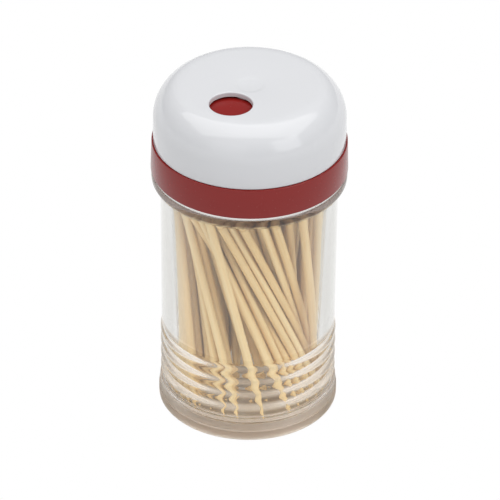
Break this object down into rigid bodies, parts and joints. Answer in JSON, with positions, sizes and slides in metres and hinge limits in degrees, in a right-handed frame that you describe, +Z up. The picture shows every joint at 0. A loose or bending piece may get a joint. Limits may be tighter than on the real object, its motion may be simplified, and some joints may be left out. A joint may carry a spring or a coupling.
{
  "type": "toothpick dispenser",
  "caption": "Clear ribbed jar of toothpicks with a red push-on inner cap and a white turning cap that opens and shuts a round dispensing hole.",
  "frame": {"origin": "middle of the foot, on the table", "axes": "+Z up along the jar's axis, -Y towards the front"},
  "size_m": [0.048, 0.048, 0.0892],
  "materials": {
    "clear_plastic": "clear polished moulding",
    "red_plastic": "glossy moulding",
    "white_plastic": "high gloss moulding",
    "toothpick_wood": "plain unfinished wood"
  },
  "bodies": {
    "jar": {"clear_jar": "clear_plastic", "toothpick_01": "toothpick_wood", "toothpick_02": "toothpick_wood", "toothpick_03": "toothpick_wood", "toothpick_04": "toothpick_wood", "toothpick_05": "toothpick_wood", "toothpick_06": "toothpick_wood", "toothpick_07": "toothpick_wood", "toothpick_08": "toothpick_wood", "toothpick_09": "toothpick_wood", "toothpick_10": "toothpick_wood", "toothpick_11": "toothpick_wood", "toothpick_12": "toothpick_wood", "toothpick_13": "toothpick_wood", "toothpick_14": "toothpick_wood", "toothpick_15": "toothpick_wood", "toothpick_16": "toothpick_wood", "toothpick_17": "toothpick_wood", "toothpick_18": "toothpick_wood", "toothpick_19": "toothpick_wood", "toothpick_20": "toothpick_wood", "toothpick_21": "toothpick_wood", "toothpick_22": "toothpick_wood", "toothpick_23": "toothpick_wood", "toothpick_24": "toothpick_wood", "toothpick_25": "toothpick_wood", "toothpick_26": "toothpick_wood", "toothpick_27": "toothpick_wood", "toothpick_28": "toothpick_wood", "toothpick_29": "toothpick_wood", "toothpick_30": "toothpick_wood", "toothpick_31": "toothpick_wood", "toothpick_32": "toothpick_wood", "toothpick_33": "toothpick_wood", "toothpick_34": "toothpick_wood", "toothpick_35": "toothpick_wood", "toothpicks_ring_2": "toothpick_wood", "toothpicks_ring_3": "toothpick_wood", "toothpicks_ring_4": "toothpick_wood", "toothpicks_ring_5": "toothpick_wood", "toothpicks_ring_6": "toothpick_wood"},
    "inner_cap": {"red_inner_cap": "red_plastic"},
    "dial_cap": {"white_dial_cap": "white_plastic"}
  },
  "joints": [
    {"name": "inner_cap_lift", "type": "slide", "parent": "jar", "child": "inner_cap", "axis": [0, 0, 1], "range_m": [0, 0.03]},
    {"name": "dial_turn", "type": "hinge", "parent": "inner_cap", "child": "dial_cap", "pos_m": [0, 0, 0.0874], "axis": [0, 0, 1], "continuous": true}
  ]
}
